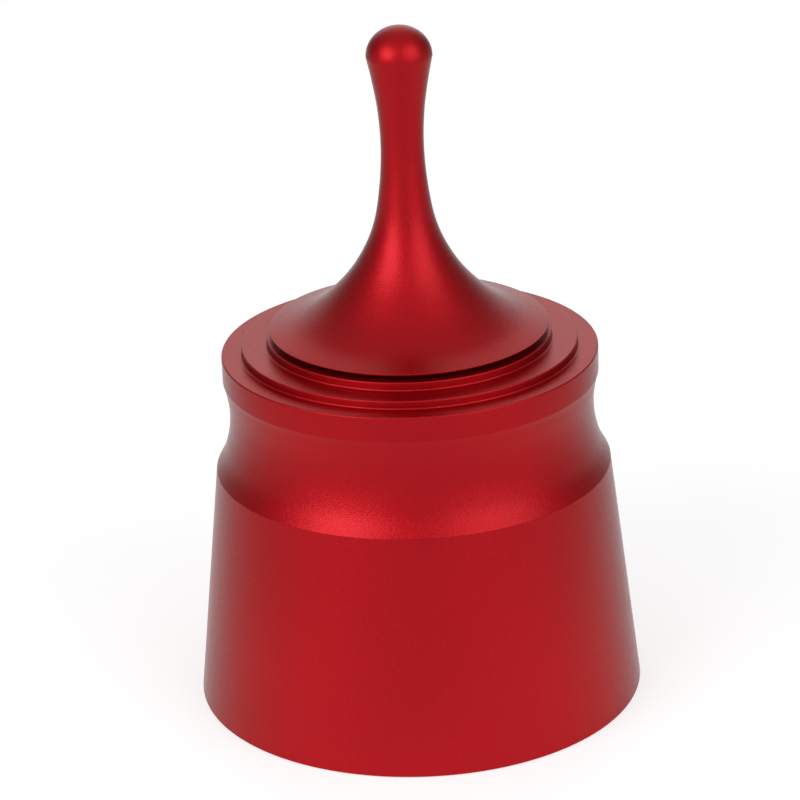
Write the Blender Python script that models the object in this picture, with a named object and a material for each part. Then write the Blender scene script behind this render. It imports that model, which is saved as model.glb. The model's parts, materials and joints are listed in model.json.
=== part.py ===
"""Needle distributor for a 58 mm espresso basket, standing in its conical stand.

A slim bell-shaped handle is spun between two fingers. It turns a planet carrier in
two ball bearings inside a turned collar. Two planet gears roll in a ring gear fixed
in the collar, and each one swings four fine needles through the coffee grounds.
The collar lifts off a hollow conical stand, which hides and guards the needles.

Metres, +Z up. The origin is the centre of the stand's underside.
"""

import bmesh
import bpy
from math import acos, cos, pi, radians, sin, tan

MM = 0.001

# Fits
GAP = 0.3                     # between pieces that touch
RUNNING_GAP = 0.15            # between balls and races

# Stand
BASE_RADIUS = 39.0
SEAM_RADIUS = 34.28
SEAM_HEIGHT = 41.95
SHELL_BOTTOM = 0.15
UNDERSIDE = 1.2
WELL_RADIUS = 30.0
WELL_FLOOR = 5.0
WELL_CORNER = 2.0
FOOT_INNER = 33.3
FOOT_OUTER = 35.7
FOOT_HEIGHT = 1.6

# Collar
FLANGE_RADIUS = 32.4
FLANGE_BOTTOM = 58.5
FLANGE_TOP = 62.88
LOWER_STEP_RADIUS = 28.85
LOWER_STEP_TOP = 64.35
UPPER_STEP_RADIUS = 24.45
UPPER_STEP_TOP = 65.87
SPIGOT_RADIUS = 29.1
SPIGOT_BOTTOM = 38.0
GEAR_SEAT_RADIUS = 27.3
GEAR_SEAT_TOP = 50.5
CARRIER_ROOM_RADIUS = 25.5
WEB_UNDERSIDE = 59.0
HUB_RADIUS = 11.2
HUB_BOTTOM = 54.2
COVE = [(SEAM_RADIUS, SEAM_HEIGHT + GAP / 2), (32.95, 44.5), (32.15, 47.0), (31.6, 50.0),
        (31.5, 53.5), (32.0, 57.0), (FLANGE_RADIUS, FLANGE_BOTTOM)]

# Bearings, 8 mm bore, 16 mm outside, 4 mm wide
BEARING_BORE = 4.0
BEARING_OUTSIDE = 8.0
BEARING_WIDTH = 4.0
BALL_CIRCLE = 6.0
BALL_RADIUS = 1.1
BALLS = 7
GROOVE_REACH = 55             # degrees either way from the middle of a groove
CAGE_HALF_WIDTH = 0.4
CAGE_BELOW = 1.4
CAGE_ABOVE = 0.5
UPPER_BEARING = 60.5
LOWER_BEARING = 56.2
CIRCLIP_TOP = 55.8
CIRCLIP_THICKNESS = 0.8
CIRCLIP_INNER = 7.0
CIRCLIP_OPENING = radians(24)
CIRCLIP_GROOVE = 0.8

# Planet gearing
MODULE = 1.0
RING_TEETH = 48
PLANET_TEETH = 22
PRESSURE_ANGLE = radians(20)
BACKLASH = 0.25
ADDENDUM = 0.9
DEDENDUM = 1.2
FLANK_POINTS = 2
RING_PITCH = MODULE * RING_TEETH / 2
PLANET_PITCH = MODULE * PLANET_TEETH / 2
PLANET_ORBIT = RING_PITCH - PLANET_PITCH
RING_GEAR_BOTTOM = 44.6
RING_GEAR_TOP = 50.2
RETAINING_RING_BOTTOM = 41.0
PLANET_BOTTOM = 44.9
PLANET_TOP = 50.0

# Carrier
CARRIER_RADIUS = 24.9
CARRIER_BOTTOM = 50.6
CARRIER_TOP = 53.6
COVER_RADIUS = 24.6
COVER_BOTTOM = 42.6
COVER_TOP = 44.3
WINDOW_RADIUS = 9.4
STUD_RADIUS = 3.0
PILLAR_ORBIT = 18.0
PILLAR_RADIUS = 2.4
SCREW_SHANK = 1.0
SCREW_HEAD = 1.9
SCREW_HEAD_HEIGHT = 0.8
AXLE_RADIUS = 1.5
AXLE_HEAD = 2.6
AXLE_HEAD_HEIGHT = 0.9
BUSH_RADIUS = 3.0
BUSH_BORE = 1.6

# Needles
DISC_RADIUS = 9.0
DISC_BOTTOM = 41.6
DISC_TOP = 44.6
DISC_SCREW_ORBIT = 5.6
DISC_SCREW_SHANK = 0.7
DISC_SCREW_HEAD = 1.3
DISC_SCREW_HEAD_HEIGHT = 0.7
DISC_SCREW_ANGLES = (45, 225)
NEEDLE_ORBITS = (7.9, 6.7, 5.5, 4.6)
NEEDLE_RADIUS = 0.2
NEEDLE_HOLE = 0.5
NEEDLE_TOP = 44.3
NEEDLE_TIP = 19.0
NEEDLE_POINT = 1.2

# Handle
BELL_RADIUS = 24.0
BELL_EDGE = 0.15
BELL_UNDERSIDE = 67.0
LAND_RADIUS = 21.5            # under the bell, just clear of the collar
LAND_BOTTOM = 66.2
BOSS_RADIUS = 6.5
SPINDLE_RADIUS = 3.7
SPINDLE_TOP = 77.5
SPINDLE_SHOULDER = 5.3
DOME_RADIUS = 5.59
DOME_HEIGHT = 5.1
DOME_BASE = 114.7
STEM = [(DOME_RADIUS, DOME_BASE), (4.87, 111.2), (4.05, 106.1), (3.68, 100.9), (3.78, 95.8),
        (4.32, 90.6), (5.19, 86.0), (6.69, 81.9), (9.08, 77.7)]
BELL = [(12.03, 74.1), (15.42, 71.0), (19.5, 68.5)]

TINY = 8                      # facets round a needle
SMALL = 12                    # round screws
COARSE = 20                   # round bearings and bushes
MEDIUM = 32                   # round the handle
FINE = 40                     # round the large shells
SHARP_ANGLE = radians(35)


def clear_scene():
    for thing in list(bpy.data.objects):
        bpy.data.objects.remove(thing, do_unlink=True)


def material(name, colour, roughness, metallic):
    surface = bpy.data.materials.new(name)
    surface.use_nodes = True
    shader = surface.node_tree.nodes["Principled BSDF"]
    shader.inputs["Base Color"].default_value = (*colour, 1.0)
    shader.inputs["Roughness"].default_value = roughness
    shader.inputs["Metallic"].default_value = metallic
    return surface


def finish_mesh(name, mesh_data, surface):
    """Turns a bmesh into a named object with outward faces and crisp edges."""
    bmesh.ops.recalc_face_normals(mesh_data, faces=mesh_data.faces)
    mesh = bpy.data.meshes.new(name)
    mesh_data.to_mesh(mesh)
    mesh_data.free()
    mesh.shade_smooth()
    mesh.set_sharp_from_angle(angle=SHARP_ANGLE)
    mesh.materials.append(surface)
    piece = bpy.data.objects.new(name, mesh)
    bpy.context.collection.objects.link(piece)
    return piece


def turned(name, profile, segments, surface, closed=True):
    """Spins a profile of (radius, height) in mm about Z. A closed profile makes a
    ring; an open one begins and ends on the axis and makes a solid piece."""
    mesh_data = bmesh.new()
    points = [mesh_data.verts.new((r * MM, 0, z * MM)) for r, z in profile]
    pairs = list(zip(points, points[1:]))
    if closed:
        pairs.append((points[-1], points[0]))
    edges = [mesh_data.edges.new(pair) for pair in pairs]
    bmesh.ops.spin(mesh_data, geom=points + edges, axis=(0, 0, 1), cent=(0, 0, 0),
                   angle=2 * pi, steps=segments, use_merge=True)
    bmesh.ops.remove_doubles(mesh_data, verts=mesh_data.verts, dist=0.00001)
    return finish_mesh(name, mesh_data, surface)


def circle(radius, segments, centre=(0, 0)):
    return [(centre[0] + radius * cos(2 * pi * i / segments),
             centre[1] + radius * sin(2 * pi * i / segments))
            for i in range(segments)]


def plate(name, loops, bottom, top, surface):
    """Fills the area between an outline and its holes, and extrudes it upwards."""
    mesh_data = bmesh.new()
    edges = []
    for loop in loops:
        points = [mesh_data.verts.new((x * MM, y * MM, bottom * MM)) for x, y in loop]
        edges += [mesh_data.edges.new((a, b)) for a, b in zip(points, points[1:] + points[:1])]
    filled = bmesh.ops.triangle_fill(mesh_data, use_beauty=True, edges=edges)
    faces = [item for item in filled["geom"] if isinstance(item, bmesh.types.BMFace)]
    raised = bmesh.ops.extrude_face_region(mesh_data, geom=faces, use_keep_orig=True)
    lifted = [item for item in raised["geom"] if isinstance(item, bmesh.types.BMVert)]
    bmesh.ops.translate(mesh_data, verts=lifted, vec=(0, 0, (top - bottom) * MM))
    return finish_mesh(name, mesh_data, surface)


def move(piece, x, y=0.0):
    piece.location = (x * MM, y * MM, 0)
    return piece


def arc(centre, radius, start, end, steps):
    """Points of (radius, height) round part of a circle, angles in degrees."""
    return [(centre[0] + radius * cos(radians(start + (end - start) * i / steps)),
             centre[1] + radius * sin(radians(start + (end - start) * i / steps)))
            for i in range(steps + 1)]


def smooth_curve(knots, steps):
    """A Catmull-Rom curve through the knots, with the given points per stretch."""
    padded = [knots[0]] + list(knots) + [knots[-1]]
    points = []
    for i in range(len(knots) - 1):
        a, b, c, d = padded[i:i + 4]
        for k in range(steps):
            t = k / steps
            points.append(tuple(0.5 * (2 * b[j] + (c[j] - a[j]) * t
                                       + (2 * a[j] - 5 * b[j] + 4 * c[j] - d[j]) * t ** 2
                                       + (3 * b[j] - a[j] - 3 * c[j] + d[j]) * t ** 3)
                                for j in (0, 1)))
    points.append(knots[-1])
    return points


def involute_outline(teeth, above, below, thickening):
    """A spur gear's outline with a tooth centred on the +X axis. above and below are
    the heights of the tooth over and under the pitch circle."""
    pitch = MODULE * teeth / 2
    base = pitch * cos(PRESSURE_ANGLE)
    half_tooth = pi / (2 * teeth) + thickening / (2 * pitch)
    at_pitch = tan(PRESSURE_ANGLE) - PRESSURE_ANGLE

    def half_width(radius):
        angle = acos(min(1.0, base / radius))
        return half_tooth + at_pitch - (tan(angle) - angle)

    low = pitch - below
    high = pitch + above
    flank_start = max(low, base)
    radii = [flank_start + (high - flank_start) * i / FLANK_POINTS
             for i in range(FLANK_POINTS + 1)]
    flank = [(r, half_width(r)) for r in radii]
    if flank_start > low:
        flank.insert(0, (low, half_width(flank_start)))
    outline = []
    for tooth in range(teeth):
        middle = 2 * pi * tooth / teeth
        outline += [(r * cos(middle - w), r * sin(middle - w)) for r, w in flank]
        outline += [(r * cos(middle + w), r * sin(middle + w)) for r, w in reversed(flank)]
    return outline


def make_stand(red, rubber):
    turned("stand_shell", [
        (BASE_RADIUS, SHELL_BOTTOM),
        (SEAM_RADIUS, SEAM_HEIGHT - GAP / 2),
        (WELL_RADIUS, SEAM_HEIGHT - GAP / 2),
        (WELL_RADIUS, WELL_FLOOR + WELL_CORNER),
        (WELL_RADIUS - WELL_CORNER, WELL_FLOOR),
        (0, WELL_FLOOR),
        (0, UNDERSIDE),
        (FOOT_INNER - 4.0, UNDERSIDE),
        (FOOT_INNER - 3.0, SHELL_BOTTOM),
        (FOOT_INNER - GAP, SHELL_BOTTOM),
        (FOOT_INNER - GAP, FOOT_HEIGHT + GAP),
        (FOOT_OUTER + GAP, FOOT_HEIGHT + GAP),
        (FOOT_OUTER + GAP, SHELL_BOTTOM),
    ], FINE, red)
    turned("stand_foot_ring", [
        (FOOT_OUTER, 0), (FOOT_OUTER, FOOT_HEIGHT), (FOOT_INNER, FOOT_HEIGHT), (FOOT_INNER, 0),
    ], FINE, rubber)


def make_collar(red):
    bearing_seat = BEARING_OUTSIDE + GAP
    groove_top = CIRCLIP_TOP + GAP
    groove_bottom = CIRCLIP_TOP - CIRCLIP_THICKNESS - GAP
    turned("collar_shell", smooth_curve(COVE, 2) + [
        (FLANGE_RADIUS, FLANGE_TOP),
        (LOWER_STEP_RADIUS, FLANGE_TOP),
        (LOWER_STEP_RADIUS, LOWER_STEP_TOP),
        (UPPER_STEP_RADIUS, LOWER_STEP_TOP),
        (UPPER_STEP_RADIUS, UPPER_STEP_TOP),
        (BOSS_RADIUS + GAP, UPPER_STEP_TOP),
        (BOSS_RADIUS + GAP, UPPER_BEARING + BEARING_WIDTH + GAP),
        (bearing_seat, UPPER_BEARING + BEARING_WIDTH + GAP),
        (bearing_seat, groove_top),
        (bearing_seat + CIRCLIP_GROOVE, groove_top),
        (bearing_seat + CIRCLIP_GROOVE, groove_bottom),
        (bearing_seat, groove_bottom),
        (bearing_seat, HUB_BOTTOM),
        (HUB_RADIUS, HUB_BOTTOM),
        (HUB_RADIUS, WEB_UNDERSIDE),
        (CARRIER_ROOM_RADIUS, WEB_UNDERSIDE),
        (CARRIER_ROOM_RADIUS, GEAR_SEAT_TOP),
        (GEAR_SEAT_RADIUS, GEAR_SEAT_TOP),
        (GEAR_SEAT_RADIUS, SPIGOT_BOTTOM),
        (SPIGOT_RADIUS, SPIGOT_BOTTOM),
        (SPIGOT_RADIUS, SEAM_HEIGHT + GAP / 2),
    ], FINE, red)


def make_ring_gear(steel, red):
    teeth = involute_outline(RING_TEETH, DEDENDUM, ADDENDUM, BACKLASH)
    outside = circle(GEAR_SEAT_RADIUS - GAP, FINE)
    plate("ring_gear", [outside, teeth], RING_GEAR_BOTTOM, RING_GEAR_TOP, steel)
    turned("gear_retaining_ring", [
        (GEAR_SEAT_RADIUS - GAP, RING_GEAR_BOTTOM - GAP),
        (COVER_RADIUS + 2 * GAP, RING_GEAR_BOTTOM - GAP),
        (COVER_RADIUS + 2 * GAP, RETAINING_RING_BOTTOM),
        (GEAR_SEAT_RADIUS - GAP, RETAINING_RING_BOTTOM),
    ], FINE, red)


def race_groove(height, outwards):
    """The groove's points, from the top of the race to its bottom."""
    radius = BALL_RADIUS + RUNNING_GAP
    middle = 0 if outwards else 180
    reach = GROOVE_REACH if outwards else -GROOVE_REACH
    return arc((BALL_CIRCLE, height), radius, middle + reach, middle - reach, 4)


def make_bearing(prefix, bottom, steel, cage_finish):
    top = bottom + BEARING_WIDTH
    middle = bottom + BEARING_WIDTH / 2
    land = (BALL_RADIUS + RUNNING_GAP) * cos(radians(GROOVE_REACH))
    outer_land = BALL_CIRCLE + land
    inner_land = BALL_CIRCLE - land
    turned(prefix + "_outer_race", [(outer_land, top)] + race_groove(middle, True)
           + [(outer_land, bottom), (BEARING_OUTSIDE, bottom), (BEARING_OUTSIDE, top)],
           COARSE, steel)
    turned(prefix + "_inner_race", [(inner_land, top)] + race_groove(middle, False)
           + [(inner_land, bottom), (BEARING_BORE, bottom), (BEARING_BORE, top)],
           COARSE, steel)
    make_cage(prefix + "_ball_cage", middle, steel, cage_finish)


def make_cage(name, middle, steel, cage_finish):
    """The balls sit in one crown cage, so they are one body with it."""
    outside = BALL_CIRCLE + CAGE_HALF_WIDTH
    inside = BALL_CIRCLE - CAGE_HALF_WIDTH
    cage = turned(name, [(outside, middle - CAGE_BELOW), (outside, middle + CAGE_ABOVE),
                         (inside, middle + CAGE_ABOVE), (inside, middle - CAGE_BELOW)],
                  2 * BALLS, cage_finish)
    for i in range(BALLS):
        angle = 2 * pi * i / BALLS
        mesh_data = bmesh.new()
        bmesh.ops.create_uvsphere(mesh_data, u_segments=6, v_segments=5, radius=BALL_RADIUS * MM)
        ball = finish_mesh(f"{name}_ball_{i + 1}", mesh_data, steel)
        ball.location = (BALL_CIRCLE * cos(angle) * MM, BALL_CIRCLE * sin(angle) * MM, middle * MM)
        ball.rotation_euler = (0, 0, angle)
        ball.hide_render = True
        ball.display_type = "WIRE"
        modifier = cage.modifiers.new("ball", "BOOLEAN")
        modifier.operation = "UNION"
        modifier.solver = "EXACT"
        modifier.object = ball


def make_circlip(steel):
    """An open retaining ring in the groove under the lower bearing."""
    outer = BEARING_OUTSIDE + CIRCLIP_GROOVE
    span = 2 * pi - CIRCLIP_OPENING
    angles = [CIRCLIP_OPENING / 2 + span * i / MEDIUM for i in range(MEDIUM + 1)]
    outline = [(outer * cos(a), outer * sin(a)) for a in angles]
    outline += [(CIRCLIP_INNER * cos(a), CIRCLIP_INNER * sin(a)) for a in reversed(angles)]
    plate("bearing_circlip", [outline], CIRCLIP_TOP - CIRCLIP_THICKNESS, CIRCLIP_TOP, steel)


def make_handle(red):
    """A flattened dome on a waisted stem, which flares into a bell with a thin rim."""
    dome = [(r, DOME_BASE + z * DOME_HEIGHT / DOME_RADIUS)
            for r, z in arc((0, 0), DOME_RADIUS, 90, 0, 6)]
    dome[0] = (0, DOME_BASE + DOME_HEIGHT)
    turned("handle", dome[:-1] + STEM + BELL + [
        (BELL_RADIUS - BELL_EDGE, BELL_UNDERSIDE + BELL_EDGE),
        (BELL_RADIUS, BELL_UNDERSIDE),
        (LAND_RADIUS, BELL_UNDERSIDE),
        (LAND_RADIUS, LAND_BOTTOM),
        (BOSS_RADIUS, LAND_BOTTOM),
        (BOSS_RADIUS, UPPER_BEARING + BEARING_WIDTH + GAP),
        (SPINDLE_RADIUS + GAP, UPPER_BEARING + BEARING_WIDTH + GAP),
        (SPINDLE_RADIUS + GAP, SPINDLE_TOP + GAP),
        (0, SPINDLE_TOP + 2.0),
    ], FINE, red, closed=False)


def make_spindle(steel):
    turned("spindle", [
        (0, SPINDLE_TOP),
        (SPINDLE_RADIUS - 0.5, SPINDLE_TOP),
        (SPINDLE_RADIUS, SPINDLE_TOP - 0.5),
        (SPINDLE_RADIUS, LOWER_BEARING - GAP),
        (SPINDLE_SHOULDER, LOWER_BEARING - GAP),
        (SPINDLE_SHOULDER, CARRIER_TOP + GAP),
        (STUD_RADIUS, CARRIER_TOP + GAP),
        (STUD_RADIUS, CARRIER_BOTTOM + GAP),
        (0, CARRIER_BOTTOM + GAP),
    ], COARSE, steel, closed=False)


def pillar_places():
    return [("front", (0, -PILLAR_ORBIT)), ("rear", (0, PILLAR_ORBIT))]


def planet_places():
    return [("right", PLANET_ORBIT), ("left", -PLANET_ORBIT)]


def make_carrier(aluminium, steel):
    pillar_hole = SCREW_SHANK + GAP
    pillar_holes = [circle(pillar_hole, SMALL, place) for _, place in pillar_places()]
    axle_holes = [circle(AXLE_RADIUS + GAP, SMALL, (x, 0)) for _, x in planet_places()]
    plate("carrier_plate",
          [circle(CARRIER_RADIUS, FINE), circle(STUD_RADIUS + GAP, COARSE)]
          + pillar_holes + axle_holes, CARRIER_BOTTOM, CARRIER_TOP, aluminium)
    windows = [circle(WINDOW_RADIUS, MEDIUM, (x, 0)) for _, x in planet_places()]
    plate("carrier_cover", [circle(COVER_RADIUS, FINE)] + pillar_holes + windows,
          COVER_BOTTOM, COVER_TOP, aluminium)
    for side, place in pillar_places():
        pillar = turned(f"carrier_pillar_{side}", [
            (PILLAR_RADIUS, COVER_TOP + GAP), (PILLAR_RADIUS, CARRIER_BOTTOM - GAP),
            (pillar_hole, CARRIER_BOTTOM - GAP), (pillar_hole, COVER_TOP + GAP),
        ], SMALL, aluminium)
        move(pillar, *place)
        screw = pan_screw(f"carrier_screw_{side}", SCREW_SHANK, SCREW_HEAD, SCREW_HEAD_HEIGHT,
                          COVER_BOTTOM - GAP, CARRIER_TOP - GAP, steel)
        move(screw, *place)


def pan_screw(name, shank, head, head_height, head_top, tip, steel):
    """A screw with its head at the bottom, driven upwards, with a socket in its head."""
    return turned(name, [
        (0, tip), (shank, tip), (shank, head_top), (head, head_top),
        (head, head_top - head_height * 0.5), (head * 0.8, head_top - head_height),
        (head * 0.45, head_top - head_height), (head * 0.45, head_top - head_height * 0.4),
        (0, head_top - head_height * 0.4),
    ], SMALL, steel, closed=False)


def make_planet(side, orbit, aluminium, brass, steel):
    """A planet gear on its bush, with the needle disc screwed under it."""
    bore = circle(BUSH_RADIUS + GAP, COARSE)
    screw_places = [(DISC_SCREW_ORBIT * cos(radians(a)), DISC_SCREW_ORBIT * sin(radians(a)))
                    for a in DISC_SCREW_ANGLES]
    screw_holes = [circle(DISC_SCREW_SHANK + GAP, TINY, place) for place in screw_places]
    teeth = involute_outline(PLANET_TEETH, ADDENDUM, DEDENDUM, -BACKLASH)
    move(plate(f"planet_gear_{side}", [teeth, bore] + screw_holes,
               PLANET_BOTTOM, PLANET_TOP, brass), orbit)

    needle_places = [(r * cos(pi / 2 * i), r * sin(pi / 2 * i))
                     for i, r in enumerate(NEEDLE_ORBITS)]
    needle_holes = [circle(NEEDLE_HOLE, TINY, place) for place in needle_places]
    move(plate(f"needle_disc_{side}", [circle(DISC_RADIUS, MEDIUM), bore] + screw_holes
               + needle_holes, DISC_BOTTOM, DISC_TOP, aluminium), orbit)

    bush = turned(f"planet_bush_{side}", [
        (BUSH_RADIUS, PLANET_TOP + GAP), (BUSH_BORE, PLANET_TOP + GAP),
        (BUSH_BORE, DISC_BOTTOM), (BUSH_RADIUS, DISC_BOTTOM),
    ], COARSE, brass)
    move(bush, orbit)
    axle = pan_screw(f"planet_axle_{side}", AXLE_RADIUS, AXLE_HEAD, AXLE_HEAD_HEIGHT,
                     DISC_BOTTOM - GAP, CARRIER_TOP - GAP, steel)
    move(axle, orbit)
    for number, (x, y) in enumerate(screw_places, 1):
        screw = pan_screw(f"disc_screw_{side}_{number}", DISC_SCREW_SHANK, DISC_SCREW_HEAD,
                          DISC_SCREW_HEAD_HEIGHT, DISC_BOTTOM - GAP, PLANET_TOP - 1.0, steel)
        move(screw, orbit + x, y)
    for number, (x, y) in enumerate(needle_places, 1):
        needle = turned(f"needle_{side}_{number}", [
            (0, NEEDLE_TOP), (NEEDLE_RADIUS, NEEDLE_TOP),
            (NEEDLE_RADIUS, NEEDLE_TIP + NEEDLE_POINT), (NEEDLE_RADIUS / 2, NEEDLE_TIP),
            (0, NEEDLE_TIP),
        ], TINY, steel, closed=False)
        move(needle, orbit + x, y)


def build():
    clear_scene()
    red = material("red_anodised", (0.42, 0.012, 0.018), 0.38, 1.0)
    steel = material("steel", (0.62, 0.62, 0.63), 0.25, 1.0)
    aluminium = material("clear_anodised", (0.55, 0.55, 0.56), 0.4, 1.0)
    brass = material("brass", (0.6, 0.42, 0.14), 0.35, 1.0)
    rubber = material("rubber", (0.02, 0.02, 0.02), 0.7, 0.0)
    nylon = material("nylon", (0.75, 0.72, 0.62), 0.5, 0.0)
    make_stand(red, rubber)
    make_collar(red)
    make_ring_gear(steel, red)
    make_bearing("upper", UPPER_BEARING, steel, nylon)
    make_bearing("lower", LOWER_BEARING, steel, nylon)
    make_circlip(steel)
    make_handle(red)
    make_spindle(steel)
    make_carrier(aluminium, steel)
    for side, orbit in planet_places():
        make_planet(side, orbit, aluminium, brass, steel)


build()
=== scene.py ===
"""The looks of a finger-spun needle distributor in its conical stand.

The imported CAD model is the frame. The red shells, the stand's foot and every piece
that can be seen under the lifted tool are remade here with fine, rounded edges. The
gears and bearings inside keep their CAD shape and get a better material.
"""

import json
from math import cos, pi, radians, sin, tan

import bmesh
import bpy
from mathutils import Matrix, Vector


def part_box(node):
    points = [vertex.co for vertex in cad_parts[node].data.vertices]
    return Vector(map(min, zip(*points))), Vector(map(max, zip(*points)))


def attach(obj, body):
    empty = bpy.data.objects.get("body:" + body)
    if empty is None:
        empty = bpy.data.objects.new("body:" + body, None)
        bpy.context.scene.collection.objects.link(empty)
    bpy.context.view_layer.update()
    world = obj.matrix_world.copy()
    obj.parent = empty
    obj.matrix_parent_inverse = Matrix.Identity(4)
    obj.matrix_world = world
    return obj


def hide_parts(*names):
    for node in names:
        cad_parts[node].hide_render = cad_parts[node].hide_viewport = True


MM = 0.001

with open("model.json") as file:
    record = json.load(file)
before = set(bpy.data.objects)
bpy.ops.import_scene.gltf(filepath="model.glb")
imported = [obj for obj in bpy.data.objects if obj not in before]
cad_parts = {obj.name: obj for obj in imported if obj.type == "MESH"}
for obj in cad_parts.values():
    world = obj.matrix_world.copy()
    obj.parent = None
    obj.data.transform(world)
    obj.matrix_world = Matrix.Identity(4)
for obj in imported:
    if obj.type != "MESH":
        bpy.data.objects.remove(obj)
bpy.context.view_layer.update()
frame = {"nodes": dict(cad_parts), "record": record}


# ---------------------------------------------------------------- places from the frame

def low(node, axis):
    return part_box(node)[0][axis] / MM


def high(node, axis):
    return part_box(node)[1][axis] / MM


def middle(node, axis):
    return (low(node, axis) + high(node, axis)) / 2


# Radii, heights and roundings in mm
BASE_RADIUS = high("stand_shell", 0)
WELL_RADIUS = 30.0
WELL_FLOOR = 5.0
STAND_UNDERSIDE = 1.2
RECESS_RADIUS = 29.3          # the hollow under the stand, and its rim
RECESS_RIM = 30.3
GROOVE_INNER = 33.0
GROOVE_OUTER = 36.0
GROOVE_TOP = 1.9

COLLAR_UNDERSIDE = 42.1
SEAM = (high("stand_shell", 2) + COLLAR_UNDERSIDE) / 2
SEAM_GAP = 0.02               # 0.3 in the CAD model, but no gap can be seen there
SEAM_RADIUS = 34.28
FLANGE_RADIUS = 32.4
FLANGE_BOTTOM = 58.5
FLANGE_TOP = 62.88
LOWER_STEP_RADIUS = 28.85
LOWER_STEP_TOP = 64.35
UPPER_STEP_RADIUS = 24.45
UPPER_STEP_TOP = 65.87
STEP_DRAFT = 0.02             # how far the steps' walls lean in
STEP_EDGE = 0.2
STEP_FOOT = 0.28
LIP_OUTER = 21.3
LIP_INNER = 20.3
LIP_TOP = 66.12
BOSS_HOLE = 6.8
HUB_BORE = 8.3
HUB_CEILING = 64.8
HUB_RADIUS = 11.2
HUB_BOTTOM = 54.4
WEB_UNDERSIDE = 59.0
CARRIER_ROOM_RADIUS = 25.5
GEAR_SEAT_RADIUS = 27.3
GEAR_SEAT_TOP = 50.5
SPIGOT_RADIUS = 29.1

TOP = high("handle", 2)
KNOB_RADIUS = 5.59
KNOB_BASE = 114.7
BELL_RADIUS = 24.0
BELL_UNDERSIDE = 67.0
LAND_RADIUS = 22.5
LAND_BOTTOM = 66.2
BOSS_RADIUS = 6.5

ROUND = 192                   # facets round the large shells
SMALL_ROUND = 48
SHARP_ANGLE = radians(40)


# ---------------------------------------------------------------- mesh tools

def finish_mesh(name, mesh_data):
    bmesh.ops.recalc_face_normals(mesh_data, faces=mesh_data.faces)
    mesh = bpy.data.meshes.new(name)
    mesh_data.to_mesh(mesh)
    mesh_data.free()
    mesh.shade_smooth()
    mesh.set_sharp_from_angle(angle=SHARP_ANGLE)
    piece = bpy.data.objects.new(name, mesh)
    bpy.context.collection.objects.link(piece)
    return piece


def rounded(corners, closed=True, steps=5):
    """Rounds the corners (radius, height, rounding) of an outline with arcs. A point
    close to each end of an arc keeps its shading off the flat next to it."""
    points = []
    count = len(corners)
    for i, (r, z, bend) in enumerate(corners):
        ends = not closed and i in (0, count - 1)
        if not bend or ends:
            points.append((r, z))
            continue
        here = Vector((r, z, 0))
        before = (Vector((*corners[i - 1][:2], 0)) - here).normalized()
        after = (Vector((*corners[(i + 1) % count][:2], 0)) - here).normalized()
        half = before.angle(after) / 2
        centre = here + (before + after).normalized() * (bend / sin(half))
        reach = bend / tan(half)
        start = (here + before * reach - centre).normalized()
        end = (here + after * reach - centre).normalized()
        arc = [centre + bend * start.slerp(end, k / steps) for k in range(steps + 1)]
        keeper = 0.15 * bend
        arc.insert(0, here + before * (reach + keeper))
        arc.append(here + after * (reach + keeper))
        points += [(point.x, point.y) for point in arc]
    return points


def smooth_curve(knots, steps):
    """A Catmull-Rom curve through the knots, as corners with no rounding."""
    padded = [knots[0]] + list(knots) + [knots[-1]]
    points = []
    for i in range(len(knots) - 1):
        a, b, c, d = padded[i:i + 4]
        for k in range(steps):
            t = k / steps
            r, z = (0.5 * (2 * b[j] + (c[j] - a[j]) * t
                           + (2 * a[j] - 5 * b[j] + 4 * c[j] - d[j]) * t ** 2
                           + (3 * b[j] - a[j] - 3 * c[j] + d[j]) * t ** 3) for j in (0, 1))
            points.append((r, z, 0))
    points.append((*knots[-1], 0))
    return points


def turned(name, profile, segments=ROUND, closed=True, at=(0, 0)):
    """Spins an outline of (radius, height) in mm about a vertical axis."""
    mesh_data = bmesh.new()
    points = [mesh_data.verts.new((r * MM, 0, z * MM)) for r, z in profile]
    pairs = list(zip(points, points[1:]))
    if closed:
        pairs.append((points[-1], points[0]))
    edges = [mesh_data.edges.new(pair) for pair in pairs]
    bmesh.ops.spin(mesh_data, geom=points + edges, axis=(0, 0, 1), cent=(0, 0, 0),
                   angle=2 * pi, steps=segments, use_merge=True)
    bmesh.ops.remove_doubles(mesh_data, verts=mesh_data.verts, dist=0.000001)
    bmesh.ops.translate(mesh_data, verts=mesh_data.verts, vec=(at[0] * MM, at[1] * MM, 0))
    return finish_mesh(name, mesh_data)


def circle(radius, segments, centre=(0, 0)):
    return [(centre[0] + radius * cos(2 * pi * i / segments),
             centre[1] + radius * sin(2 * pi * i / segments))
            for i in range(segments)]


def plate(name, loops, bottom, top, edge=0.0):
    """Extrudes the area between an outline and its holes, with its edges broken."""
    mesh_data = bmesh.new()
    edges = []
    for loop in loops:
        points = [mesh_data.verts.new((x * MM, y * MM, bottom * MM)) for x, y in loop]
        edges += [mesh_data.edges.new((a, b)) for a, b in zip(points, points[1:] + points[:1])]
    filled = bmesh.ops.triangle_fill(mesh_data, use_beauty=True, edges=edges)
    faces = [item for item in filled["geom"] if isinstance(item, bmesh.types.BMFace)]
    raised = bmesh.ops.extrude_face_region(mesh_data, geom=faces, use_keep_orig=True)
    lifted = [item for item in raised["geom"] if isinstance(item, bmesh.types.BMVert)]
    bmesh.ops.translate(mesh_data, verts=lifted, vec=(0, 0, (top - bottom) * MM))
    bmesh.ops.recalc_face_normals(mesh_data, faces=mesh_data.faces)
    if edge:
        rims = [e for e in mesh_data.edges if e.is_manifold and e.calc_face_angle() > 1.2]
        bmesh.ops.bevel(mesh_data, geom=rims, offset=edge * MM, segments=2, profile=0.5,
                        affect="EDGES", clamp_overlap=True)
    return finish_mesh(name, mesh_data)


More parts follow.
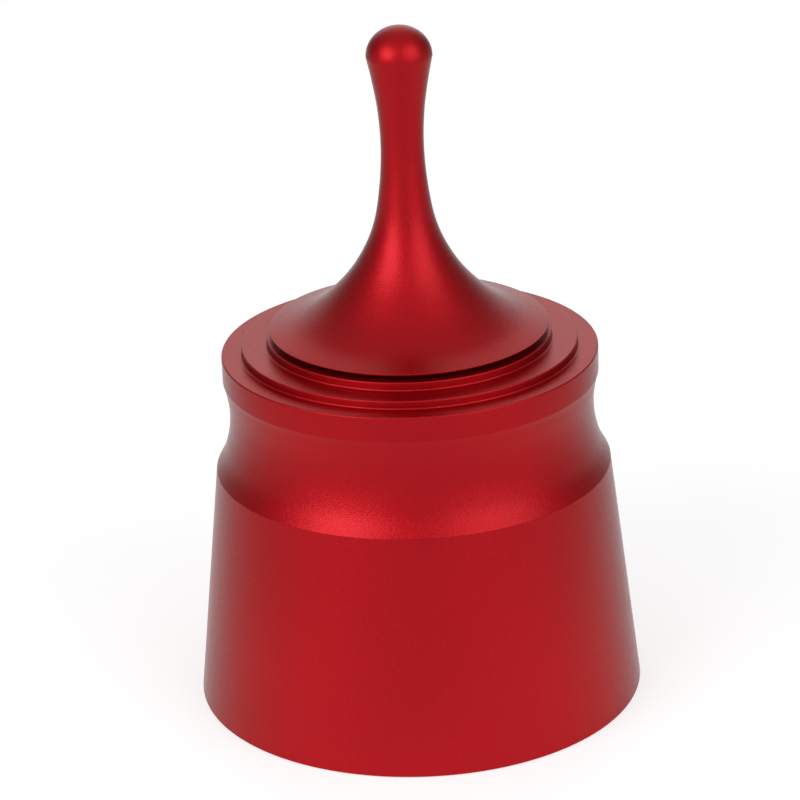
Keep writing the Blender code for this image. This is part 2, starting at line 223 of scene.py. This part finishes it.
def cut(piece, tool):
    """Cuts the tool out of the piece for good, and removes the tool."""
    modifier = piece.modifiers.new("cut", "BOOLEAN")
    modifier.operation = "DIFFERENCE"
    modifier.solver = "EXACT"
    modifier.object = tool
    bpy.context.view_layer.update()
    evaluated = piece.evaluated_get(bpy.context.evaluated_depsgraph_get())
    mesh = bpy.data.meshes.new_from_object(evaluated)
    piece.modifiers.clear()
    piece.data = mesh
    mesh.set_sharp_from_angle(angle=SHARP_ANGLE)
    bpy.data.objects.remove(tool)


# ---------------------------------------------------------------- materials

def new_material(name):
    surface = bpy.data.materials.new(name)
    surface.use_nodes = True
    nodes = surface.node_tree.nodes
    return surface, nodes, surface.node_tree.links, nodes["Principled BSDF"]


def noise(nodes, links, place, scale, detail=2.0):
    texture = nodes.new("ShaderNodeTexNoise")
    texture.inputs["Scale"].default_value = scale
    texture.inputs["Detail"].default_value = detail
    links.new(place, texture.inputs["Vector"])
    return texture.outputs["Fac"]


def spread(nodes, links, value, lowest, highest, start=0.3, end=0.7):
    """Maps the values from start to end onto a range, and holds it beyond them."""
    ranged = nodes.new("ShaderNodeMapRange")
    ranged.inputs["From Min"].default_value = start
    ranged.inputs["From Max"].default_value = end
    ranged.inputs["To Min"].default_value = lowest
    ranged.inputs["To Max"].default_value = highest
    links.new(value, ranged.inputs["Value"])
    return ranged.outputs["Result"]


def blended(nodes, links, factor, first, second):
    """Mixes two colours; each one is a colour or a socket."""
    mix = nodes.new("ShaderNodeMix")
    mix.data_type = "RGBA"
    links.new(factor, mix.inputs["Factor"])
    for socket, colour in ((mix.inputs[6], first), (mix.inputs[7], second)):
        if isinstance(colour, tuple):
            socket.default_value = (*colour, 1.0)
        else:
            links.new(colour, socket)
    return mix.outputs[2]


def bump(nodes, links, height, strength, distance):
    node = nodes.new("ShaderNodeBump")
    node.inputs["Strength"].default_value = strength
    node.inputs["Distance"].default_value = distance
    links.new(height, node.inputs["Height"])
    return node.outputs["Normal"]


def anodised(name, colour, pale, edge_tint, roughness):
    """Bead-blasted, dyed and anodised aluminium: fine grain that sparkles in the
    highlights, pale glints painted into its colour, a slow drift in the dye, a few
    specks of dust, and a clear oxide skin."""
    surface, nodes, links, shader = new_material(name)
    place = nodes.new("ShaderNodeTexCoord").outputs["Object"]
    drift = noise(nodes, links, place, 45.0, 3.0)
    fine = noise(nodes, links, place, 5200.0, 1.0)
    coarse = noise(nodes, links, place, 1500.0, 2.0)

    dyed = blended(nodes, links, spread(nodes, links, drift, 0.0, 1.0),
                   tuple(0.96 * c for c in colour), tuple(1.04 * c for c in colour))
    # Painted glints: specks of the pale colour mixed into the dye where the fine noise peaks,
    # standing in for sparkle in the highlights.
    painted_glint = spread(nodes, links, fine, 0.0, 0.03, 0.5, 0.75)
    dyed_and_glinted = blended(nodes, links, painted_glint, dyed, pale)

    cells = nodes.new("ShaderNodeTexVoronoi")
    cells.inputs["Scale"].default_value = 120.0
    links.new(place, cells.inputs["Vector"])
    speck = spread(nodes, links, cells.outputs["Distance"], 0.5, 0.0, 0.004, 0.012)
    links.new(blended(nodes, links, speck, dyed_and_glinted, (0.75, 0.45, 0.42)),
              shader.inputs["Base Color"])

    links.new(spread(nodes, links, coarse, roughness - 0.03, roughness + 0.03),
              shader.inputs["Roughness"])
    shader.inputs["Metallic"].default_value = 1.0
    shader.inputs["Specular Tint"].default_value = (*edge_tint, 1.0)
    shader.inputs["Coat Weight"].default_value = 0.85
    shader.inputs["Coat IOR"].default_value = 1.25
    shader.inputs["Coat Roughness"].default_value = 0.22
    grainy = bump(nodes, links, fine, 0.5, 0.00009)
    links.new(grainy, shader.inputs["Normal"])
    links.new(grainy, shader.inputs["Coat Normal"])
    return surface


def turned_steel(name, colour, roughness):
    """Bright steel with fine turning rings round the vertical axis."""
    surface, nodes, links, shader = new_material(name)
    place = nodes.new("ShaderNodeTexCoord").outputs["Object"]
    stretched = nodes.new("ShaderNodeMapping")
    stretched.inputs["Scale"].default_value = (1.0, 1.0, 14.0)
    links.new(place, stretched.inputs["Vector"])
    rings = noise(nodes, links, stretched.outputs["Vector"], 900.0, 2.0)
    cloud = noise(nodes, links, place, 160.0, 2.0)
    links.new(blended(nodes, links, spread(nodes, links, cloud, 0.0, 1.0),
                      tuple(0.92 * c for c in colour), colour), shader.inputs["Base Color"])
    links.new(spread(nodes, links, rings, roughness * 0.8, roughness * 1.25),
              shader.inputs["Roughness"])
    shader.inputs["Metallic"].default_value = 1.0
    links.new(bump(nodes, links, rings, 0.12, 0.00002), shader.inputs["Normal"])
    return surface


def moulded(name, colour, roughness, grain_scale):
    """Moulded silicone or nylon: a matt skin with a faint grain."""
    surface, nodes, links, shader = new_material(name)
    place = nodes.new("ShaderNodeTexCoord").outputs["Object"]
    cloud = noise(nodes, links, place, 90.0, 3.0)
    grain = noise(nodes, links, place, grain_scale, 2.0)
    links.new(blended(nodes, links, spread(nodes, links, cloud, 0.0, 1.0),
                      tuple(0.85 * c for c in colour), tuple(1.1 * c for c in colour)),
              shader.inputs["Base Color"])
    links.new(spread(nodes, links, grain, roughness - 0.06, roughness + 0.06),
              shader.inputs["Roughness"])
    links.new(bump(nodes, links, grain, 0.2, 0.00004), shader.inputs["Normal"])
    return surface


RED = anodised("red_anodised", (0.43, 0.001, 0.0062), (0.95, 0.16, 0.17),
               (0.15, 0.03, 0.04), 0.44)
CLEAR = anodised("clear_anodised", (0.58, 0.58, 0.59), (0.85, 0.85, 0.86),
                 (0.7, 0.7, 0.7), 0.36)
STEEL = turned_steel("steel", (0.62, 0.62, 0.63), 0.24)
BRASS = turned_steel("brass", (0.72, 0.50, 0.20), 0.30)
SILICONE = moulded("silicone", (0.022, 0.022, 0.023), 0.62, 2600.0)
NYLON = moulded("nylon", (0.70, 0.66, 0.55), 0.45, 1800.0)
SLOTS = {"red_anodised": RED, "clear_anodised": CLEAR, "steel": STEEL, "brass": BRASS,
         "rubber": SILICONE, "nylon": NYLON}


def stands_for(piece, node, body, slot):
    """Puts a finished piece in the place of its CAD node."""
    piece.data.materials.clear()
    piece.data.materials.append(SLOTS[slot])
    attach(piece, body)
    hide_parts(node)


# ---------------------------------------------------------------- shells

def make_handle():
    """A flattened dome, a crisp line where the waisted stem begins, and a thin bell."""
    steps = 24
    dome = [(KNOB_RADIUS * sin(pi / 2 * i / steps),
             KNOB_BASE + (TOP - KNOB_BASE) * cos(pi / 2 * i / steps), 0) for i in range(steps)]
    stem = smooth_curve([(KNOB_RADIUS, KNOB_BASE), (4.87, 111.2), (4.05, 106.1), (3.68, 100.9),
                         (3.78, 95.8), (4.32, 90.6), (5.19, 86.0), (6.69, 81.9), (9.08, 77.7),
                         (12.03, 74.1), (15.42, 71.0), (19.5, 68.5), (23.8, 67.19)], 8)
    under = [(BELL_RADIUS, BELL_UNDERSIDE + 0.14, 0.06), (BELL_RADIUS, BELL_UNDERSIDE, 0.04),
             (LAND_RADIUS, BELL_UNDERSIDE, 0.2), (LAND_RADIUS, LAND_BOTTOM, 0.15),
             (BOSS_RADIUS, LAND_BOTTOM, 0.1), (BOSS_RADIUS, low("handle", 2), 0.1),
             (0, low("handle", 2), 0)]
    piece = turned("spinning_handle", rounded(dome + stem + under, closed=False), closed=False)
    stands_for(piece, "handle", "rotor", "red_anodised")


def make_collar():
    """Finger cove, flange and two steps, with every edge lightly broken. A low dust lip
    under the bell's land keeps light from showing through between them."""
    bottom = SEAM + SEAM_GAP / 2
    spigot_bottom = low("collar_shell", 2)
    cove = smooth_curve([(SEAM_RADIUS, bottom), (32.95, 44.5), (32.15, 47.0), (31.6, 50.0),
                         (31.5, 53.5), (32.0, 57.0), (FLANGE_RADIUS, FLANGE_BOTTOM)], 8)
    profile = cove[:-1] + [
        (FLANGE_RADIUS, FLANGE_BOTTOM, 0.12),
        (FLANGE_RADIUS, FLANGE_TOP, 0.25),
        (LOWER_STEP_RADIUS + STEP_DRAFT, FLANGE_TOP, STEP_FOOT),
        (LOWER_STEP_RADIUS, LOWER_STEP_TOP, STEP_EDGE),
        (UPPER_STEP_RADIUS + STEP_DRAFT, LOWER_STEP_TOP, STEP_FOOT),
        (UPPER_STEP_RADIUS, UPPER_STEP_TOP, STEP_EDGE),
        (LIP_OUTER, UPPER_STEP_TOP, 0), (LIP_OUTER, LIP_TOP, 0.08),
        (LIP_INNER, LIP_TOP, 0.08), (LIP_INNER, UPPER_STEP_TOP, 0),
        (BOSS_HOLE, UPPER_STEP_TOP, 0.3), (BOSS_HOLE, HUB_CEILING, 0),
        (HUB_BORE, HUB_CEILING, 0), (HUB_BORE, HUB_BOTTOM, 0.3),
        (HUB_RADIUS, HUB_BOTTOM, 0.4), (HUB_RADIUS, WEB_UNDERSIDE, 0.6),
        (CARRIER_ROOM_RADIUS, WEB_UNDERSIDE, 0.6), (CARRIER_ROOM_RADIUS, GEAR_SEAT_TOP, 0),
        (GEAR_SEAT_RADIUS, GEAR_SEAT_TOP, 0), (GEAR_SEAT_RADIUS, spigot_bottom, 0.3),
        (SPIGOT_RADIUS, spigot_bottom, 0.4), (SPIGOT_RADIUS, bottom, 0.2),
        (SEAM_RADIUS - 0.04, bottom, 0),
    ]
    piece = turned("collar", rounded(profile))
    stands_for(piece, "collar_shell", "collar", "red_anodised")


def make_stand():
    """A hollow cone with a smooth well, and a groove for its foot ring."""
    top = SEAM - SEAM_GAP / 2
    bottom = low("stand_shell", 2)
    profile = [
        (BASE_RADIUS, bottom, 0.1), (SEAM_RADIUS, top, 0.02), (WELL_RADIUS, top, 0.5),
        (WELL_RADIUS, WELL_FLOOR, 2.0), (0, WELL_FLOOR, 0), (0, STAND_UNDERSIDE, 0),
        (RECESS_RADIUS, STAND_UNDERSIDE, 0.4), (RECESS_RIM, bottom, 0.3),
        (GROOVE_INNER, bottom, 0.2), (GROOVE_INNER, GROOVE_TOP, 0),
        (GROOVE_OUTER, GROOVE_TOP, 0), (GROOVE_OUTER, bottom, 0.2),
    ]
    piece = turned("conical_stand", rounded(profile))
    stands_for(piece, "stand_shell", "stand", "red_anodised")


def make_foot_ring():
    """It fills its groove but for a hair's breadth, and stands on the table."""
    outer, inner = GROOVE_OUTER - 0.1, GROOVE_INNER + 0.1
    top = GROOVE_TOP - 0.1
    profile = [(outer, 0.0, 0.5), (outer, top, 0.3), (inner, top, 0.3), (inner, 0.0, 0.5)]
    piece = turned("foot_ring", rounded(profile))
    stands_for(piece, "stand_foot_ring", "stand", "rubber")


def make_retaining_ring():
    """A flat ring with four slots for a pin spanner."""
    outer, inner = GEAR_SEAT_RADIUS - 0.1, 25.2
    bottom, top = low("gear_retaining_ring", 2), high("gear_retaining_ring", 2)
    profile = [(outer, top, 0), (inner, top, 0.1), (inner, bottom, 0.3), (outer, bottom, 0.3)]
    piece = turned("gear_retaining_ring_fine", rounded(profile))
    for i in range(4):
        slot = plate("spanner_slot", [[(25.0, -0.9), (27.4, -0.9), (27.4, 0.9), (25.0, 0.9)]],
                     bottom - 0.5, bottom + 0.8)
        slot.data.transform(Matrix.Rotation(pi / 4 + pi / 2 * i, 4, "Z"))
        cut(piece, slot)
    stands_for(piece, "gear_retaining_ring", "collar", "red_anodised")


# ---------------------------------------------------------------- carrier and needles

def make_carrier_cover():
    """A round plate with two screw holes, and a window for each needle disc."""
    pillars = [(0, middle(f"carrier_pillar_{side}", 1)) for side in ("front", "rear")]
    windows = [(middle(f"needle_disc_{side}", 0), 0) for side in ("right", "left")]
    loops = [circle(high("carrier_cover", 0), ROUND)]
    screw_hole, window = 1.15, 9.3
    loops += [circle(screw_hole, SMALL_ROUND, place) for place in pillars]
    loops += [circle(window, 96, place) for place in windows]
    piece = plate("carrier_cover_fine", loops, low("carrier_cover", 2),
                  high("carrier_cover", 2), 0.2)
    stands_for(piece, "carrier_cover", "rotor", "clear_anodised")


def socket_screw(node, body, shank, head, socket):
    """A screw driven from below, with a domed head and a hexagonal socket. Its sizes are
    radii."""
    x, y = middle(node, 0), middle(node, 1)
    bottom, top = low(node, 2), high(node, 2)
    seat = bottom + (0.95 if head > 2 else 0.75)    # a wide head is a thicker one
    profile = [(0, top, 0), (shank, top, 0.15), (shank, seat, 0), (head, seat, 0.1),
               (head, bottom, 0.35), (0, bottom, 0)]
    piece = turned(node + "_fine", rounded(profile, closed=False), SMALL_ROUND, False, (x, y))
    hexagon = plate("socket", [circle(socket, 6, (x, y))], bottom - 0.5, bottom + 0.5)
    cut(piece, hexagon)
    stands_for(piece, node, body, "steel")


def make_screws():
    for side in ("front", "rear"):
        socket_screw(f"carrier_screw_{side}", "rotor", shank=1.0, head=1.9, socket=0.9)
    for side in ("right", "left"):
        socket_screw(f"planet_axle_{side}", "rotor", shank=1.5, head=2.6, socket=1.3)
        for number in (1, 2):
            socket_screw(f"disc_screw_{side}_{number}", f"{side}_planet",
                         shank=0.7, head=1.3, socket=0.6)


def make_needle_disc(side):
    """A disc with a hole for its axle, two screw holes and four needle holes."""
    node = f"needle_disc_{side}"
    x = middle(node, 0)
    needles = [(middle(f"needle_{side}_{i}", 0), middle(f"needle_{side}_{i}", 1))
               for i in range(1, 5)]
    screws = [(middle(f"disc_screw_{side}_{i}", 0), middle(f"disc_screw_{side}_{i}", 1))
              for i in (1, 2)]
    outside, axle_hole, screw_hole, needle_hole = 9.0, 3.05, 0.85, 0.32
    loops = [circle(outside, 96, (x, 0)), circle(axle_hole, SMALL_ROUND, (x, 0))]
    loops += [circle(screw_hole, 24, place) for place in screws]
    loops += [circle(needle_hole, 16, place) for place in needles]
    piece = plate(node + "_fine", loops, low(node, 2), high(node, 2), 0.08)
    stands_for(piece, node, f"{side}_planet", "clear_anodised")


def make_needle(side, number):
    """A straight stainless wire with a blunt, rounded tip."""
    node = f"needle_{side}_{number}"
    bottom, top = low(node, 2), high(node, 2)
    radius, tip_radius, tip_length = 0.2, 0.12, 1.0
    profile = [(0, top, 0), (radius, top, 0.04), (radius, bottom + tip_length, 0),
               (tip_radius, bottom, 0.08), (0, bottom, 0)]
    piece = turned(node + "_fine", rounded(profile, closed=False), 20, False,
                   (middle(node, 0), middle(node, 1)))
    stands_for(piece, node, f"{side}_planet", "steel")


def dress_hidden_nodes():
    """Gives each CAD node the material of its slot."""
    slot_of = {part["node"]: part["material_slot"] for part in frame["record"]["subparts"]}
    for name, node in frame["nodes"].items():
        node.data.materials.clear()
        node.data.materials.append(SLOTS[slot_of[name]])


# ---------------------------------------------------------------- studio

def softbox(name, azimuth, elevation, size, radiance):
    """A square light, placed by its direction from the object. Azimuth 0 is on the
    camera's side and grows to the right."""
    turn, rise = radians(azimuth), radians(elevation)
    outwards = Vector((sin(turn) * cos(rise), -cos(turn) * cos(rise), sin(rise)))
    light = bpy.data.lights.new(name, "AREA")
    light.size = size
    light.energy = radiance * pi * size ** 2
    lamp = bpy.data.objects.new(name, light)
    lamp.location = Vector((0, 0, 0.06)) + 1.1 * outwards
    lamp.rotation_euler = outwards.to_track_quat("Z", "Y").to_euler()
    bpy.context.collection.objects.link(lamp)


def glow(nodes, links, towards, direction, start, end):
    """How far a direction in the world lies inside a soft round patch, 0 to 1."""
    facing = nodes.new("ShaderNodeVectorMath")
    facing.operation = "DOT_PRODUCT"
    facing.inputs[1].default_value = direction
    links.new(towards, facing.inputs[0])
    return spread(nodes, links, facing.outputs["Value"], 0.0, 1.0, start, end)


def light_pool(nodes, links):
    """The table glows most under and behind the object, and less in front of it and
    to its sides."""
    place = nodes.new("ShaderNodeTexCoord").outputs["Object"]
    split = nodes.new("ShaderNodeSeparateXYZ")
    links.new(place, split.inputs[0])
    sideways = nodes.new("ShaderNodeMath")
    sideways.operation = "ABSOLUTE"
    links.new(split.outputs["X"], sideways.inputs[0])
    widening = nodes.new("ShaderNodeMath")
    widening.operation = "MULTIPLY_ADD"
    widening.inputs[1].default_value = -0.16    # the pool widens towards the back
    links.new(split.outputs["Y"], widening.inputs[0])
    links.new(sideways.outputs[0], widening.inputs[2])
    pool = nodes.new("ShaderNodeMath")
    pool.operation = "MULTIPLY"
    from_the_front = spread(nodes, links, split.outputs["Y"], 0.0, 1.0, -0.16, -0.05)
    to_the_sides = spread(nodes, links, widening.outputs[0], 1.0, 0.0, 0.09, 0.20)
    links.new(from_the_front, pool.inputs[0])
    links.new(to_the_sides, pool.inputs[1])
    return spread(nodes, links, pool.outputs[0], 0.26, 0.59, 0.0, 1.0)


def make_studio():
    """A glowing white table in a pale tent, with a softbox either side of the camera."""
    mesh_data = bmesh.new()
    bmesh.ops.create_grid(mesh_data, x_segments=1, y_segments=1, size=6.0)
    floor = finish_mesh("floor", mesh_data)
    surface, nodes, links, shader = new_material("white_floor")
    shader.inputs["Base Color"].default_value = (0.5, 0.5, 0.5, 1.0)
    shader.inputs["Roughness"].default_value = 0.9
    shader.inputs["Specular IOR Level"].default_value = 0.1
    shader.inputs["Emission Color"].default_value = (1.0, 1.0, 1.0, 1.0)
    links.new(light_pool(nodes, links), shader.inputs["Emission Strength"])
    floor.data.materials.append(surface)

    softbox("left_softbox", -45, 27, 0.74, 2.75)
    softbox("right_softbox", 47, 28, 0.90, 1.38)

    world = bpy.data.worlds.new("studio")
    bpy.context.scene.world = world
    world.use_nodes = True
    nodes = world.node_tree.nodes
    links = world.node_tree.links
    towards = nodes.new("ShaderNodeTexCoord").outputs["Generated"]
    backdrop = glow(nodes, links, towards, (0.0, 0.94, 0.34), 0.80, 0.99)
    side = glow(nodes, links, towards, (0.8, 0.59, 0.1), 0.50, 0.92)
    other_side = glow(nodes, links, towards, (-0.8, 0.59, 0.1), 0.50, 0.92)
    tent = (0.68, 0.68, 0.69)
    dim = (0.30, 0.30, 0.31)
    light = blended(nodes, links, other_side, blended(nodes, links, side, tent, dim), dim)
    links.new(blended(nodes, links, backdrop, light, (1.4, 1.4, 1.4)),
              nodes["Background"].inputs["Color"])
    bpy.context.scene.view_settings.view_transform = "Standard"


def make_camera():
    """Looks down on the object by about 22 degrees, rolled a little."""
    camera = bpy.data.cameras.new("camera")
    camera.sensor_width = 36.0
    camera.lens = 154.4
    camera.clip_end = 20.0
    eye = bpy.data.objects.new("camera", camera)
    place = Vector((0.0, -0.5498, 0.2768))
    aim = Vector((-0.0020, 0.0, 0.0529))
    turn = (aim - place).to_track_quat("-Z", "Y").to_matrix().to_4x4()
    roll = Matrix.Rotation(radians(-2.17), 4, "Z")
    eye.matrix_world = Matrix.Translation(place) @ turn @ roll
    bpy.context.collection.objects.link(eye)
    bpy.context.scene.camera = eye


make_camera()
dress_hidden_nodes()
make_handle()
make_collar()
make_stand()
make_foot_ring()
make_retaining_ring()
make_carrier_cover()
make_screws()
for side in ("right", "left"):
    make_needle_disc(side)
    for number in range(1, 5):
        make_needle(side, number)
make_studio()
